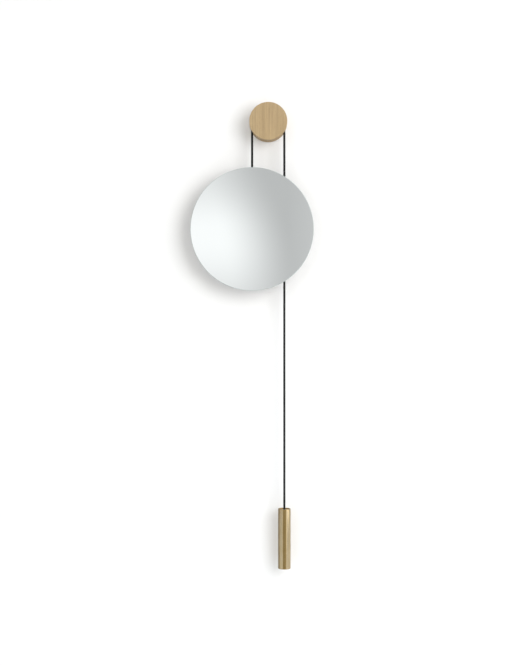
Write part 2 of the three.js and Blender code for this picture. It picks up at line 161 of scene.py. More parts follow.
class Finish(Tree):
    """A material."""

    def __init__(self, name):
        self.material = bpy.data.materials.new(name)
        self.material.use_nodes = True
        super().__init__(self.material.node_tree)
        self.shader = self.nodes["Principled BSDF"]

    def set(self, **values):
        for name, value in values.items():
            self.shader.inputs[name.replace("_", " ")].default_value = value

    def link(self, output, name):
        self.links.new(output, self.shader.inputs[name])

    def surface(self, colour, roughness):
        self.link(colour, "Base Color")
        self.link(roughness, "Roughness")

    def show(self, shader):
        """Another shader takes the place of the plain one."""
        self.links.new(shader.outputs[0], self.nodes["Material Output"].inputs["Surface"])

    def place(self, scale=(1, 1, 1)):
        """The piece's own coordinates, in metres, stretched by scale."""
        coordinates = self.node("ShaderNodeTexCoord")
        mapping = self.node("ShaderNodeMapping", {"Vector": coordinates.outputs["Object"], "Scale": scale})
        return mapping.outputs["Vector"]

    def noise(self, scale, stretch=(1, 1, 1), detail=3.0, roughness=0.55):
        made = self.node("ShaderNodeTexNoise", {
            "Vector": self.place(stretch),
            "Scale": scale,
            "Detail": detail,
            "Roughness": roughness,
        })
        return made.outputs["Fac"]

    def bump(self, height, strength, distance):
        made = self.node("ShaderNodeBump", {
            "Height": height,
            "Strength": strength,
            "Distance": distance,
        })
        self.link(made.outputs["Normal"], "Normal")


# ------------------------------------------------------------------ materials


def oak_finish():
    """Pale oiled oak with its grain along Z, darker on its end grain."""
    oak = Finish("pale_oak")
    board = oak.noise(26, stretch=(1, 1, 0.06), detail=2.0)
    streaks = oak.noise(210, stretch=(1, 1, 0.035), detail=4.0, roughness=0.62)
    fibres = oak.noise(1500, stretch=(1, 1, 0.03), detail=3.0, roughness=0.6)
    pores = oak.noise(2300, stretch=(1, 1, 0.09), detail=1.0, roughness=0.4)
    warm = oak.mix(oak.remap(board, 0.35, 0.65), (0.404, 0.284, 0.145), (0.498, 0.374, 0.212))
    banded = oak.mix(oak.remap(streaks, 0.3, 0.7), (0.29, 0.2, 0.1), warm)
    fibred = oak.mix(oak.remap(fibres, 0.3, 0.75, 0.0, 0.45), banded, (0.49, 0.38, 0.235))
    pored = oak.mix(oak.remap(pores, 0.36, 0.27, 0.0, 0.55), fibred, (0.2, 0.13, 0.065))
    normal = oak.node("ShaderNodeTexCoord").outputs["Normal"]
    upright = oak.node("ShaderNodeSeparateXYZ", {0: normal}).outputs["Z"]
    end_grain = oak.remap(oak.math("ABSOLUTE", upright), 0.45, 0.95, 0.0, 0.42)
    tone = oak.mix(end_grain, pored, (0.22, 0.145, 0.08))
    oak.surface(tone, oak.remap(streaks, 0.3, 0.7, 0.62, 0.5))
    relief = oak.math("ADD", oak.math("MULTIPLY", fibres, 0.5), oak.remap(pores, 0.27, 0.36))
    oak.bump(relief, 0.25, 0.12 * MM)
    oak.set(Specular_IOR_Level=0.4)
    return oak.material


def brass_finish():
    """Brass turned on a lathe and lightly polished: fine rings, soft stains."""
    brass = Finish("turned_brass")
    stains = brass.noise(38, detail=4.0)
    rings = brass.noise(1.0, stretch=(3, 3, 5200), detail=2.0, roughness=0.5)
    stained = brass.mix(brass.remap(stains, 0.35, 0.7), (0.60, 0.472, 0.262), (0.65, 0.522, 0.318))
    tone = brass.mix(brass.remap(rings, 0.3, 0.7, 0.0, 0.12), stained, (0.48, 0.365, 0.195))
    brass.surface(tone, brass.remap(stains, 0.3, 0.75, 0.07, 0.12))
    brass.bump(rings, 0.06, 0.02 * MM)
    brass.set(Metallic=1.0, Specular_Tint=(0.62, 0.52, 0.4, 1))
    return brass.material


def steel_finish():
    """Zinc-plated steel with fine scratches."""
    steel = Finish("plated_steel")
    scratches = steel.noise(1500, stretch=(1, 1, 0.03), detail=4.0)
    bloom = steel.noise(70, detail=3.0)
    tone = steel.mix(steel.remap(bloom, 0.35, 0.7), (0.56, 0.57, 0.58), (0.66, 0.66, 0.65))
    steel.surface(tone, steel.remap(scratches, 0.3, 0.7, 0.3, 0.4))
    steel.bump(scratches, 0.06, 0.03 * MM)
    steel.set(Metallic=1.0)
    return steel.material


def bronze_finish():
    """Sintered bronze, with open pores."""
    bronze = Finish("sintered_bronze")
    grains = bronze.noise(2600, detail=2.0)
    tone = bronze.mix(bronze.remap(grains, 0.35, 0.6), (0.30, 0.19, 0.09), (0.56, 0.39, 0.2))
    bronze.surface(tone, bronze.remap(grains, 0.3, 0.7, 0.5, 0.36))
    bronze.bump(grains, 0.2, 0.04 * MM)
    bronze.set(Metallic=1.0)
    return bronze.material


def cord_finish():
    """Black braided polyester, a little faded in places."""
    cord = Finish("black_braid")
    yarn = cord.noise(3800, stretch=(1, 1, 0.45), detail=2.0)
    fade = cord.noise(30, detail=2.0)
    black = cord.mix(cord.remap(yarn, 0.3, 0.7), (0.005, 0.005, 0.0055), (0.02, 0.02, 0.0215))
    tone = cord.mix(cord.remap(fade, 0.3, 0.7, 0.0, 0.35), black, (0.016, 0.016, 0.0175))
    cord.surface(tone, cord.remap(yarn, 0.3, 0.7, 0.8, 0.55))
    cord.bump(yarn, 0.35, 0.05 * MM)
    cord.set(Specular_IOR_Level=0.24)
    return cord.material


def silver_finish():
    """The mirror's face."""
    silver = Finish("mirror_silver")
    haze = silver.noise(9, detail=2.0)
    tone = silver.mix(silver.remap(haze, 0.3, 0.7), (0.87, 0.9, 0.898), (0.878, 0.908, 0.906))
    silver.surface(tone, silver.remap(haze, 0.3, 0.7, 0.012, 0.03))
    silver.set(Metallic=1.0)
    return silver.material


def glass_edge_finish():
    """The ground and polished edge of float glass, pale green."""
    edge = Finish("glass_edge")
    grind = edge.noise(900, stretch=(1, 0.1, 1), detail=2.0)
    tone = edge.mix(edge.remap(grind, 0.3, 0.7), (0.36, 0.45, 0.41), (0.5, 0.58, 0.54))
    edge.surface(tone, edge.remap(grind, 0.3, 0.7, 0.1, 0.24))
    edge.bump(grind, 0.05, 0.02 * MM)
    edge.set(Specular_IOR_Level=0.6, Coat_Weight=0.6, Coat_Roughness=0.06)
    return edge.material


def mirror_back_finish():
    """Grey protective paint on the back of the silvering."""
    paint = Finish("mirror_back_paint")
    flow = paint.noise(140, stretch=(1, 1, 0.35), detail=3.0)
    tone = paint.mix(paint.remap(flow, 0.3, 0.7), (0.20, 0.215, 0.22), (0.25, 0.265, 0.27))
    paint.surface(tone, paint.remap(flow, 0.3, 0.7, 0.38, 0.5))
    paint.bump(flow, 0.08, 0.05 * MM)
    return paint.material


def fibreboard_finish():
    """Dark medium-density fibreboard with short pressed fibres."""
    board = Finish("dark_fibreboard")
    fibres = board.noise(1900, stretch=(1, 0.4, 0.35), detail=4.0, roughness=0.7)
    mottle = board.noise(60, detail=4.0)
    base = board.mix(board.remap(mottle, 0.35, 0.7), (0.135, 0.088, 0.052), (0.172, 0.115, 0.07))
    tone = board.mix(board.remap(fibres, 0.42, 0.72, 0.0, 0.6), base, (0.30, 0.21, 0.135))
    board.surface(tone, board.remap(fibres, 0.3, 0.7, 0.85, 0.7))
    board.bump(fibres, 0.25, 0.08 * MM)
    return board.material


def foam_finish():
    """White closed-cell foam tape."""
    foam = Finish("white_foam")
    cells = foam.noise(2400, detail=2.0)
    tone = foam.mix(foam.remap(cells, 0.35, 0.65), (0.6, 0.59, 0.56), (0.8, 0.79, 0.76))
    foam.surface(tone, foam.remap(cells, 0.3, 0.7, 0.95, 0.8))
    foam.bump(cells, 0.3, 0.08 * MM)
    return foam.material


def felt_finish():
    """Dark wool felt."""
    felt = Finish("dark_felt")
    wool = felt.noise(1700, detail=5.0, roughness=0.75)
    tone = felt.mix(felt.remap(wool, 0.3, 0.7), (0.03, 0.03, 0.032), (0.1, 0.1, 0.105))
    felt.surface(tone, felt.remap(wool, 0.3, 0.7, 0.98, 0.88))
    felt.bump(wool, 0.6, 0.25 * MM)
    felt.set(Sheen_Weight=0.35, Sheen_Roughness=0.5)
    return felt.material


OAK = oak_finish()
BRASS = brass_finish()
STEEL = steel_finish()
BRONZE = bronze_finish()
CORD = cord_finish()
SILVER = silver_finish()
GLASS_EDGE = glass_edge_finish()
MIRROR_BACK = mirror_back_finish()
FIBREBOARD = fibreboard_finish()
FOAM = foam_finish()
FELT = felt_finish()

# ------------------------------------------------------------------ mesh helpers

SMOOTH_BELOW = math.radians(32)
SOFTEN_ABOVE = math.radians(40)
TINY = 1e-9
ARC_SHARE = 0.45
SMALL_SIDES = 96
MIDDLE_SIDES = 160
LARGE_SIDES = 256


def new_piece(name, vertices, faces, material):
    mesh = bpy.data.meshes.new(name)
    mesh.from_pydata([tuple(v) for v in vertices], [], [tuple(f) for f in faces])
    mesh.materials.append(material)
    mesh.validate()
    piece = bpy.data.objects.new(name, mesh)
    bpy.context.scene.collection.objects.link(piece)
    return piece


def shade(piece):
    """Smooth shading, sharp where faces meet at more than SMOOTH_BELOW."""
    piece.data.polygons.foreach_set("use_smooth", [True] * len(piece.data.polygons))
    piece.data.set_sharp_from_angle(angle=SMOOTH_BELOW)
    piece.data.update()


def hold_flat(piece):
    """Keeps large flat faces flat where they meet a rounded edge."""
    modifier = piece.modifiers.new("flat_faces", "WEIGHTED_NORMAL")
    modifier.keep_sharp = True


def rounded(outline, radius, steps=4):
    """The outline with each of its inner corners turned into a small curve. Points are (radius, height).
    A curve takes no more than ARC_SHARE of a side."""
    points = [Vector(p) for p in outline]
    result = [points[0]]
    for before, corner, after in zip(points, points[1:], points[2:]):
        back, ahead = before - corner, after - corner
        reach = min(radius, back.length * ARC_SHARE, ahead.length * ARC_SHARE)
        start = corner + back.normalized() * reach
        end = corner + ahead.normalized() * reach
        for step in range(steps + 1):
            t = step / steps
            result.append((1 - t) ** 2 * start + 2 * t * (1 - t) * corner + t * t * end)
    result.append(points[-1])
    return result


def turned(name, outline, centre, upright, material, sides=MIDDLE_SIDES):
    """A solid of revolution. The outline's points are (radius, height along the axis), from the back or
    top to the front or bottom. It starts and ends on the axis, or its last point repeats its first.
    The axis goes through centre, along Z if upright and along Y if not, and heights are coordinates on it."""
    outline = [Vector(p) for p in outline]
    ring_shaped = (outline[0] - outline[-1]).length < TINY
    rows = outline[:-1] if ring_shaped else outline
    sizes = [1 if row.x < TINY else sides for row in rows]
    vertices, starts = [], []

    def point(radius, height, angle):
        across, other = radius * math.cos(angle), radius * math.sin(angle)
        if upright:
            return (centre.x + across, centre.y + other, height)
        return (centre.x + across, height, centre.z + other)

    for (radius, height), size in zip(rows, sizes):
        starts.append(len(vertices))
        vertices += [point(radius, height, 2 * math.pi * k / sides) for k in range(size)]
    pairs = list(zip(range(len(rows)), range(1, len(rows))))
    if ring_shaped:
        pairs.append((len(rows) - 1, 0))
    faces = []
    for a, b in pairs:
        for k in range(sides):
            after = (k + 1) % sides
            upper = [starts[a] + k % sizes[a], starts[a] + after % sizes[a]]
            lower = [starts[b] + after % sizes[b], starts[b] + k % sizes[b]]
            face = [*dict.fromkeys(upper + lower)]
            faces.append(face[::-1] if upright else face)
    piece = new_piece(name, vertices, faces, material)
    face_outward(piece)
    shade(piece)
    hold_flat(piece)
    return piece


def face_outward(piece):
    mesh = bmesh.new()
    mesh.from_mesh(piece.data)
    bmesh.ops.recalc_face_normals(mesh, faces=mesh.faces)
    mesh.to_mesh(piece.data)
    mesh.free()


def combine(piece, others, operation="DIFFERENCE"):
    """Cuts the others out of the piece, joins them to it or keeps what they share, and removes them."""
    piece.modifiers.clear()
    for other in others:
        modifier = piece.modifiers.new("combine", "BOOLEAN")
        modifier.operation = operation
        modifier.solver = "EXACT"
        modifier.object = other
    evaluated = piece.evaluated_get(bpy.context.evaluated_depsgraph_get())
    mesh = bpy.data.meshes.new_from_object(evaluated)
    piece.modifiers.clear()
    piece.data = mesh
    for other in others:
        bpy.data.objects.remove(other)
    shade(piece)
    hold_flat(piece)


def block(name, low, high, material):
    """A box between two corners, with no edges rounded yet."""
    corners = [(x, y, z) for x in (low.x, high.x) for y in (low.y, high.y) for z in (low.z, high.z)]
    faces = [(0, 1, 3, 2), (4, 6, 7, 5), (0, 4, 5, 1), (2, 3, 7, 6), (0, 2, 6, 4), (1, 5, 7, 3)]
    return new_piece(name, corners, faces, material)


def soften(piece, radius):
    """Rounds every edge where faces meet at more than SOFTEN_ABOVE."""
    piece.modifiers.clear()
    modifier = piece.modifiers.new("soft_edges", "BEVEL")
    modifier.width = radius
    modifier.segments = 3
    modifier.limit_method = "ANGLE"
    modifier.angle_limit = SOFTEN_ABOVE
    shade(piece)
    hold_flat(piece)


def washer_outline(inner, outer, back, front):
    """A ring's outline, which starts half way through its bore."""
    middle = (inner, (back + front) / 2)
    return [middle, (inner, back), (outer, back), (outer, front), (inner, front), middle]


def hold(piece, node):
    """The piece stands for the CAD node: it moves with the node's body, and the node is hidden."""
    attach(piece, BODY_OF[node])
    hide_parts(node)


# ------------------------------------------------------------------ cord: one braided cord in three stretches

CORD_DIAMETER = 6.5 * MM
CORD_HOLE_RADIUS = CORD_DIAMETER / 2 + GAP
BRAID_STRANDS = 8
BRAID_LAY = 19 * MM
BRAID_CORE = 2.72 * MM
BRAID_ROUND = 0.35 * MM
BRAID_WAVE = 0.18 * MM
BRAID_SIDES = 40
BRAID_STEP = 0.6 * MM


def braid_radius(angle, along):
    """The braid's surface radius, for strands that wind both ways and pass over and under each other."""
    right = BRAID_STRANDS * (angle / (2 * np.pi) + along / BRAID_LAY)
    left = BRAID_STRANDS * (angle / (2 * np.pi) - along / BRAID_LAY)

    def strand(across, lengthwise, first):
        number = np.floor(across)
        offset = 2 * (across - number) - 1
        crown = np.sqrt(np.clip(1 - offset ** 2, 0, 1))
        wave = np.cos(np.pi * (lengthwise - 0.5)) * np.where(number % 2 == 0, 1, -1) * first
        return BRAID_ROUND * crown + BRAID_WAVE * wave

    return BRAID_CORE + np.maximum(strand(right, left, 1), strand(left, right, -1))


def braided(name, centres, headings, first_along):
    """A braided tube along points in the plane y = CORD_Y, closed at both ends."""
    angle = np.arange(BRAID_SIDES) * 2 * np.pi / BRAID_SIDES
    steps = np.linalg.norm(np.diff(centres, axis=0), axis=1)
    along = first_along + np.concatenate([[0], np.cumsum(steps)])
    depth = np.array([0.0, 1.0, 0.0])
    sideways = np.cross(headings, depth)
    radius = braid_radius(angle[None, :], along[:, None])
    rim = np.cos(angle)[None, :, None] * depth + np.sin(angle)[None, :, None] * sideways[:, None, :]
    vertices = (centres[:, None, :] + radius[:, :, None] * rim).reshape(-1, 3)
    rows = len(centres)
    index = np.arange(rows * BRAID_SIDES).reshape(rows, BRAID_SIDES)
    after = np.roll(index, -1, axis=1)
    quads = np.stack([index[:-1], after[:-1], after[1:], index[1:]], axis=-1).reshape(-1, 4)
    faces = quads.tolist() + [index[0][::-1].tolist(), index[-1].tolist()]
    piece = new_piece(name, vertices.tolist(), faces, CORD)
    face_outward(piece)
    shade(piece)
    return piece, along[-1]


def straight(start_z, end_z, x):
    """Points up or down one of the cord's two legs, and their headings."""
    count = math.ceil(abs(end_z - start_z) / BRAID_STEP) + 1
    heights = np.linspace(start_z, end_z, count)
    centres = np.stack([np.full(count, x), np.full(count, CORD_Y), heights], axis=-1)
    headings = np.tile([0.0, 0.0, math.copysign(1, end_z - start_z)], (count, 1))
    return centres, headings


def over_wheel():
    """Points from the left leg over the top of the wheel to the right leg, and their headings."""
    count = math.ceil(math.pi * PITCH_RADIUS / BRAID_STEP) + 1
    turn = np.linspace(math.pi, 0, count)
    flat = np.zeros(count)
    across = AXIS.x + PITCH_RADIUS * np.cos(turn)
    height = AXIS.z + PITCH_RADIUS * np.sin(turn)
    centres = np.stack([across, flat + CORD_Y, height], axis=-1)
    headings = np.stack([np.sin(turn), flat, -np.cos(turn)], axis=-1)
    return centres, headings


def make_cord():
    """From the mirror's ferrule, up, over the wheel and down into the weight."""
    left, left_headings = straight(left_leg_low.z, AXIS.z, LEFT_X)
    wrap, wrap_headings = over_wheel()
    right, right_headings = straight(AXIS.z, right_leg_low.z, RIGHT_X)
    mirror_leg, along = braided("braid_mirror_leg", left, left_headings, 0.0)
    half_turn, along = braided("braid_over_wheel", wrap, wrap_headings, along)
    weight_leg, along = braided("braid_weight_leg", right, right_headings, along)
    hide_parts("cord_mirror_leg")
    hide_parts("cord_wrap")
    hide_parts("cord_weight_leg")
    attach(half_turn, WALL)
    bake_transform(mirror_leg)
    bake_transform(weight_leg)


make_cord()

# ------------------------------------------------------------------ screws and their holes

PAST = 1 * MM  # how far a cutter reaches past the face that it opens
HOLE_SIDES = 48
SCREW_RADIUS = 2 * MM
SCREW_HEAD_RADIUS = (screw_high.x - screw_low.x) / 2
SCREW_HEAD_HEIGHT = 2.6 * MM
SCREW_HEAD_EDGE = 1 * MM
SCREW_HEAD_LEAN = 0.3 * MM
SCREW_CROWN_RADIUS = 2.7 * MM
SCREW_CROWN_DROP = 0.4 * MM
SCREW_POINT = 3 * MM
CROSS_LENGTH = 2.1 * MM
CROSS_WIDTH = 0.45 * MM
CROSS_DEPTH = 1.5 * MM


def drill(piece, outline, places):
    """Cuts the same turned hole along Y at each place."""
    combine(piece, [turned("drill", outline, place, False, STEEL, sides=HOLE_SIDES) for place in places])


def middle_of(node):
    low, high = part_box(node)
    return (low + high) / 2


def cross_recess(centre, top):
    """The two tapered wings of a cross recess, open at the top of a screw's head."""
    wings = []
    for turn in (0, math.pi / 2):
        corners = []
        for y, half_length, half_width in (
            (top + PAST, CROSS_LENGTH, CROSS_WIDTH),
            (top - CROSS_DEPTH, CROSS_LENGTH / 3, CROSS_WIDTH / 2),
        ):
            for along, across in ((-1, -1), (1, -1), (1, 1), (-1, 1)):
                flat = Vector((along * half_length, 0, across * half_width))
                corners.append(Vector((centre.x, y, centre.z)) + Matrix.Rotation(turn, 3, "Y") @ flat)
        faces = [(0, 1, 2, 3), (7, 6, 5, 4), (0, 4, 5, 1), (1, 5, 6, 2), (2, 6, 7, 3), (3, 7, 4, 0)]
        wing = new_piece("wing", corners, faces, STEEL)
        face_outward(wing)
        wings.append(wing)
    return wings


def make_screw(name, node):
    """A pan-head screw with its head at the back."""
    low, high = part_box(node)
    seat = high.y - SCREW_HEAD_HEIGHT
    screw = turned(name, [
        (0, high.y),
        (SCREW_CROWN_RADIUS * 0.6, high.y - SCREW_CROWN_DROP / 5),
        (SCREW_CROWN_RADIUS, high.y - SCREW_CROWN_DROP),
        (SCREW_HEAD_RADIUS - SCREW_HEAD_LEAN, seat + SCREW_HEAD_EDGE + SCREW_CROWN_DROP),
        (SCREW_HEAD_RADIUS, seat + SCREW_HEAD_EDGE / 2),
        (SCREW_HEAD_RADIUS, seat),
        (SCREW_RADIUS, seat),
        (SCREW_RADIUS, low.y + SCREW_POINT),
        (0, low.y),
    ], middle_of(node), False, STEEL, sides=HOLE_SIDES)
    combine(screw, cross_recess(middle_of(node), high.y))
    hold(screw, node)


# ------------------------------------------------------------------ wheel

WHEEL_EDGE = 1.3 * MM
WHEEL_EDGE_STEPS = 6
WHEEL_RADIUS = (disc_high.x - disc_low.x) / 2
RIM_DEPTH = 12 * MM
GROOVE_SLOPE = 2.5 * MM
GROOVE_RADIUS = PITCH_RADIUS - CORD_DIAMETER / 2 - GAP
HUB_BORE_RADIUS = 8 * MM
NUT_RECESS_RADIUS = 15 * MM
NUT_RECESS_DEPTH = 9 * MM
DISC_SCREWS = ("disc_screw_1", "disc_screw_2", "disc_screw_3")


def make_wheel():
    """The front disc, the hub with its groove and rear rim, and the screws that join them from behind."""
    disc = turned("oak_front_disc", rounded([
        (0, disc_high.y),
        (WHEEL_RADIUS, disc_high.y),
        (WHEEL_RADIUS, disc_low.y),
        (0, disc_low.y),
    ], WHEEL_EDGE, WHEEL_EDGE_STEPS), AXIS, False, OAK, LARGE_SIDES)
    rim_front = hub_high.y - RIM_DEPTH
    recess_floor = hub_low.y + NUT_RECESS_DEPTH
    bore_middle = (HUB_BORE_RADIUS, (hub_high.y + recess_floor) / 2)
    hub = turned("oak_hub", rounded([
        bore_middle,
        (HUB_BORE_RADIUS, hub_high.y),
        (WHEEL_RADIUS, hub_high.y),
        (WHEEL_RADIUS, rim_front),
        (GROOVE_RADIUS, rim_front - GROOVE_SLOPE),
        (GROOVE_RADIUS, hub_low.y),
        (NUT_RECESS_RADIUS, hub_low.y),
        (NUT_RECESS_RADIUS, recess_floor),
        (HUB_BORE_RADIUS, recess_floor),
        bore_middle,
    ], WHEEL_EDGE, WHEEL_EDGE_STEPS), AXIS, False, OAK, LARGE_SIDES)
    seat = screw_high.y - SCREW_HEAD_HEIGHT - GAP
    holes = [
        (0, hub_high.y + PAST),
        (SCREW_HEAD_RADIUS + GAP, hub_high.y + PAST),
        (SCREW_HEAD_RADIUS + GAP, seat),
        (SCREW_RADIUS + GAP, seat),
        (SCREW_RADIUS + GAP, screw_low.y - GAP),
        (0, screw_low.y - GAP),
    ]
    for piece in (disc, hub):
        drill(piece, holes, [middle_of(node) for node in DISC_SCREWS])
    hold(disc, "wheel_front_disc")
    hold(hub, "wheel_hub")
    for number, node in enumerate(DISC_SCREWS, 1):
        make_screw(f"steel_disc_screw_{number}", node)


make_wheel()

# ------------------------------------------------------------------ bearing: from the wall plate to the nut

PLATE_RADIUS = (plate_high.x - plate_low.x) / 2
PLATE_THICKNESS = 4 * MM
PLATE_EDGE = 0.8 * MM
PLATE_SIDES = 200
BOSS_RADIUS = 13 * MM
SPIGOT_RADIUS = 3.7 * MM
THREAD_RADIUS = 4 * MM
THREAD_PITCH = 1.25 * MM
THREAD_DEPTH = 0.35 * MM
AXLE_RADIUS = 5 * MM
BUSH_FLANGE = 1 * MM
SMALL_EDGE = 0.3 * MM
WALL_SCREW_CIRCLE = 31 * MM
WALL_SCREW_RADIUS = 2.75 * MM
WALL_SCREW_SINK = 2.75 * MM
NUT_CHAMFER = 0.9 * MM


def make_wall_plate():
    """A plate with a boss for the axle and countersunk holes for three wall screws."""
    plate_front = plate_high.y - PLATE_THICKNESS
    spigot_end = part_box("axle")[1].y + GAP
    plate = turned("steel_wall_plate", rounded([
        (0, plate_high.y),
        (PLATE_RADIUS, plate_high.y),
        (PLATE_RADIUS, plate_front),
        (BOSS_RADIUS, plate_front),
        (BOSS_RADIUS, plate_low.y),
        (SPIGOT_RADIUS + GAP, plate_low.y),
        (SPIGOT_RADIUS + GAP, spigot_end),
        (0, spigot_end),
    ], PLATE_EDGE), AXIS, False, STEEL, PLATE_SIDES)
    angles = [math.radians(degrees) for degrees in (90, 210, 330)]
    places = [AXIS + WALL_SCREW_CIRCLE * Vector((math.cos(a), 0, math.sin(a))) for a in angles]
    drill(plate, [
        (0, plate_high.y + PAST),
        (WALL_SCREW_RADIUS, plate_high.y + PAST),
        (WALL_SCREW_RADIUS, plate_front + WALL_SCREW_SINK),
        (WALL_SCREW_RADIUS + WALL_SCREW_SINK, plate_front),
        (WALL_SCREW_RADIUS + WALL_SCREW_SINK, plate_front - PAST),
        (0, plate_front - PAST),
    ], places)
    hold(plate, "wall_plate")


def make_axle():
    """A spigot in the boss, the bearing length and a threaded end."""
    low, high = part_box("axle")
    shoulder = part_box("axle_nut")[1].y + GAP
    outline = rounded([
        (0, high.y),
        (SPIGOT_RADIUS, high.y),
        (SPIGOT_RADIUS, plate_low.y - GAP),
        (AXLE_RADIUS, plate_low.y - GAP),
        (AXLE_RADIUS, shoulder),
        (THREAD_RADIUS, shoulder),
    ], SMALL_EDGE)
    turns = int((shoulder - low.y) / THREAD_PITCH)
    for turn in range(turns):
        crest = shoulder - turn * THREAD_PITCH
        outline.append((THREAD_RADIUS - THREAD_DEPTH, crest - THREAD_PITCH / 2))
        outline.append((THREAD_RADIUS, crest - THREAD_PITCH))
    outline += [(THREAD_RADIUS - THREAD_DEPTH, low.y), (0, low.y)]
    hold(turned("steel_axle", outline, AXIS, False, STEEL, SMALL_SIDES), "axle")


def make_nut():
    """Six flats, their corners cut by a double cone."""
    low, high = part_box("axle_nut")
    corner = (high - low).x / 2
    outline = [(0, high.y), (corner, high.y), (corner, low.y), (0, low.y)]
    nut = turned("steel_axle_nut", outline, AXIS, False, STEEL, sides=6)
    chamfers = turned("chamfers", [
        (0, high.y),
        (corner - NUT_CHAMFER, high.y),
        (corner, high.y - NUT_CHAMFER / 2),
        (corner, low.y + NUT_CHAMFER / 2),
        (corner - NUT_CHAMFER, low.y),
        (0, low.y),
    ], AXIS, False, STEEL, SMALL_SIDES)
    combine(nut, [chamfers], "INTERSECT")
    drill(nut, [
        (0, high.y + PAST),
        (THREAD_RADIUS + GAP, high.y + PAST),
        (THREAD_RADIUS + GAP, low.y - PAST),
        (0, low.y - PAST),
    ], [AXIS])
    hold(nut, "axle_nut")


def make_washer(end):
    """A plain washer on the axle, behind or in front of the wheel."""
    node = f"{end}_washer"
    low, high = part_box(node)
    outline = rounded(washer_outline(AXLE_RADIUS + GAP, (high.x - low.x) / 2, high.y, low.y), SMALL_EDGE)
    hold(turned(f"steel_{end}_washer", outline, AXIS, False, STEEL, SMALL_SIDES), node)


def make_bush(end):
    """A sleeve in the hub with a flange at the hub's rear or front face."""
    node = f"{end}_bush"
    low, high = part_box(node)
    flange, sleeve = (high.x - low.x) / 2, HUB_BORE_RADIUS - GAP
    if end == "rear":
        back, front = flange, sleeve
        step = high.y - BUSH_FLANGE
    else:
        back, front = sleeve, flange
        step = low.y + BUSH_FLANGE
    bore_middle = (AXLE_RADIUS + GAP, (high.y + low.y) / 2)
    outline = rounded([
        bore_middle,
        (AXLE_RADIUS + GAP, high.y),
        (back, high.y),
        (back, step),
        (front, step),
        (front, low.y),
        (AXLE_RADIUS + GAP, low.y),
        bore_middle,
    ], SMALL_EDGE)
    hold(turned(f"bronze_{end}_bush", outline, AXIS, False, BRONZE, SMALL_SIDES), node)


make_wall_plate()
make_axle()
make_nut()
for make in (make_washer, make_bush):
    for end in ("rear", "front"):
        make(end)

# ------------------------------------------------------------------ mirror

ARRIS = 0.8 * MM
MIRROR_RADIUS = (glass_high.x - glass_low.x) / 2
MIRROR_SIDES = 360
FACES_ALONG_Y = 0.99
BOARD_EDGE = 1.5 * MM
PAD_EDGE = 0.25 * MM
HANGER_SCREWS = ("hanger_screw_1", "hanger_screw_2", "hanger_screw_3", "hanger_screw_4")
HANGER_THICKNESS = 2 * MM
HANGER_CORNER = 5 * MM
HANGER_EDGE = 0.45 * MM
HANGER_BLOCK_HALF_WIDTH = 9 * MM
HANGER_BLOCK_HEIGHT = 20 * MM
HANGER_BLOCK_ROOT = 0.5 * MM
CORNER_STEPS = 8
STANDOFF_EDGE = 0.9 * MM
FELT_EDGE = 0.7 * MM


def make_glass():
    """Silver in front, a ground edge (slot 1) and a painted back (slot 2)."""
    glass = turned("mirror_disc", [
        (0, glass_high.y),
        (MIRROR_RADIUS - ARRIS / 2, glass_high.y),
        (MIRROR_RADIUS, glass_high.y - ARRIS / 2),
        (MIRROR_RADIUS, glass_low.y + ARRIS),
        (MIRROR_RADIUS - ARRIS, glass_low.y),
        (0, glass_low.y),
    ], mirror_centre, False, SILVER, MIRROR_SIDES)
    glass.data.materials.append(GLASS_EDGE)
    glass.data.materials.append(MIRROR_BACK)
    for face in glass.data.polygons:
        if face.normal.y > FACES_ALONG_Y:
            face.material_index = 2
        elif face.normal.y > -FACES_ALONG_Y:
            face.material_index = 1
    hold(glass, "mirror_glass")


def make_board():
    """The board with its screw holes, and the foam tape between it and the glass."""
    board_radius = (board_high.x - board_low.x) / 2
    board = turned("round_backing_board", rounded([
        (0, board_high.y),
        (board_radius, board_high.y),
        (board_radius, board_low.y),
        (0, board_low.y),
    ], BOARD_EDGE), mirror_centre, False, FIBREBOARD, LARGE_SIDES)
    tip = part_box(HANGER_SCREWS[0])[0].y - GAP
    drill(board, [
        (0, board_high.y + PAST),
        (SCREW_RADIUS + GAP, board_high.y + PAST),
        (SCREW_RADIUS + GAP, tip),
        (0, tip),
    ], [middle_of(node) for node in HANGER_SCREWS])
    hold(board, "backing_board")
    for number in (1, 2, 3, 4):
        node = f"adhesive_pad_{number}"
        pad = block(f"foam_pad_{number}", *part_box(node), FOAM)
        soften(pad, PAD_EDGE)
        hold(pad, node)


